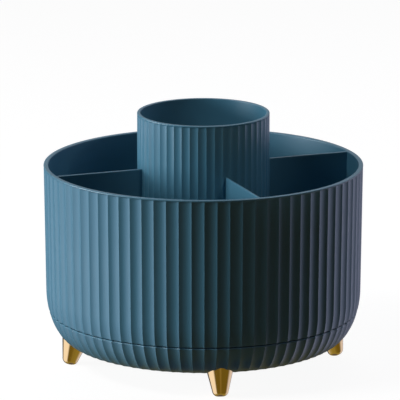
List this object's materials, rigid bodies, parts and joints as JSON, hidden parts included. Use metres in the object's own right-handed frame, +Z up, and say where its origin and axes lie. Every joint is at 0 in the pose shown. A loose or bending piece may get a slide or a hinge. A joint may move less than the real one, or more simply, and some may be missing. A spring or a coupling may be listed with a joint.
{
  "type": "makeup organizer",
  "caption": "Fluted revolving drum with dividers round a tall brush cup, turning on a low bowl-shaped base that stands on splayed conical feet.",
  "frame": {"origin": "on the surface that the feet stand on, under the drum's axis", "axes": "+Z up along the axis that the drum turns about; -Y towards the front foot; +X to the right of someone facing that foot"},
  "size_m": [0.2252, 0.2252, 0.1805],
  "materials": {
    "drum_plastic": "satin moulded, deep teal",
    "base_plastic": "satin moulded, deep teal",
    "cup_plastic": "satin moulded, deep teal",
    "divider_plastic": "satin moulded, deep teal",
    "plated_foot": "bright gold plating over plastic",
    "race_plastic": "natural acetal, moulded",
    "bush_plastic": "natural acetal, moulded",
    "cage_plastic": "black nylon, moulded",
    "steel_ball": "polished steel",
    "zinc_screw": "zinc-plated steel"
  },
  "bodies": {
    "base": {"base_shell": "base_plastic", "foot_front": "plated_foot", "foot_right": "plated_foot", "foot_back": "plated_foot", "foot_left": "plated_foot", "foot_screws": "zinc_screw", "lower_race": "race_plastic", "lower_race_screws": "zinc_screw", "pivot_bush": "bush_plastic"},
    "bearing": {"ball_cage": "cage_plastic", "bearing_balls": "steel_ball"},
    "drum": {"drum_shell": "drum_plastic", "upper_race": "race_plastic", "upper_race_screws": "zinc_screw", "centre_cup": "cup_plastic", "cup_screws": "zinc_screw", "divider_front": "divider_plastic", "divider_right": "divider_plastic", "divider_back": "divider_plastic", "divider_left": "divider_plastic", "pivot_washer": "zinc_screw", "pivot_screw": "zinc_screw"}
  },
  "joints": [
    {"name": "drum_spin", "type": "hinge", "parent": "base", "child": "drum", "pos_m": [0, 0, 0.041], "axis": [0, 0, 1], "continuous": true},
    {"name": "cage_spin", "type": "hinge", "parent": "base", "child": "bearing", "pos_m": [0, 0, 0.0295], "axis": [0, 0, 1], "continuous": true}
  ],
  "couplings": [
    {"joint": "cage_spin", "follows": "drum_spin", "ratio": 0.5}
  ]
}
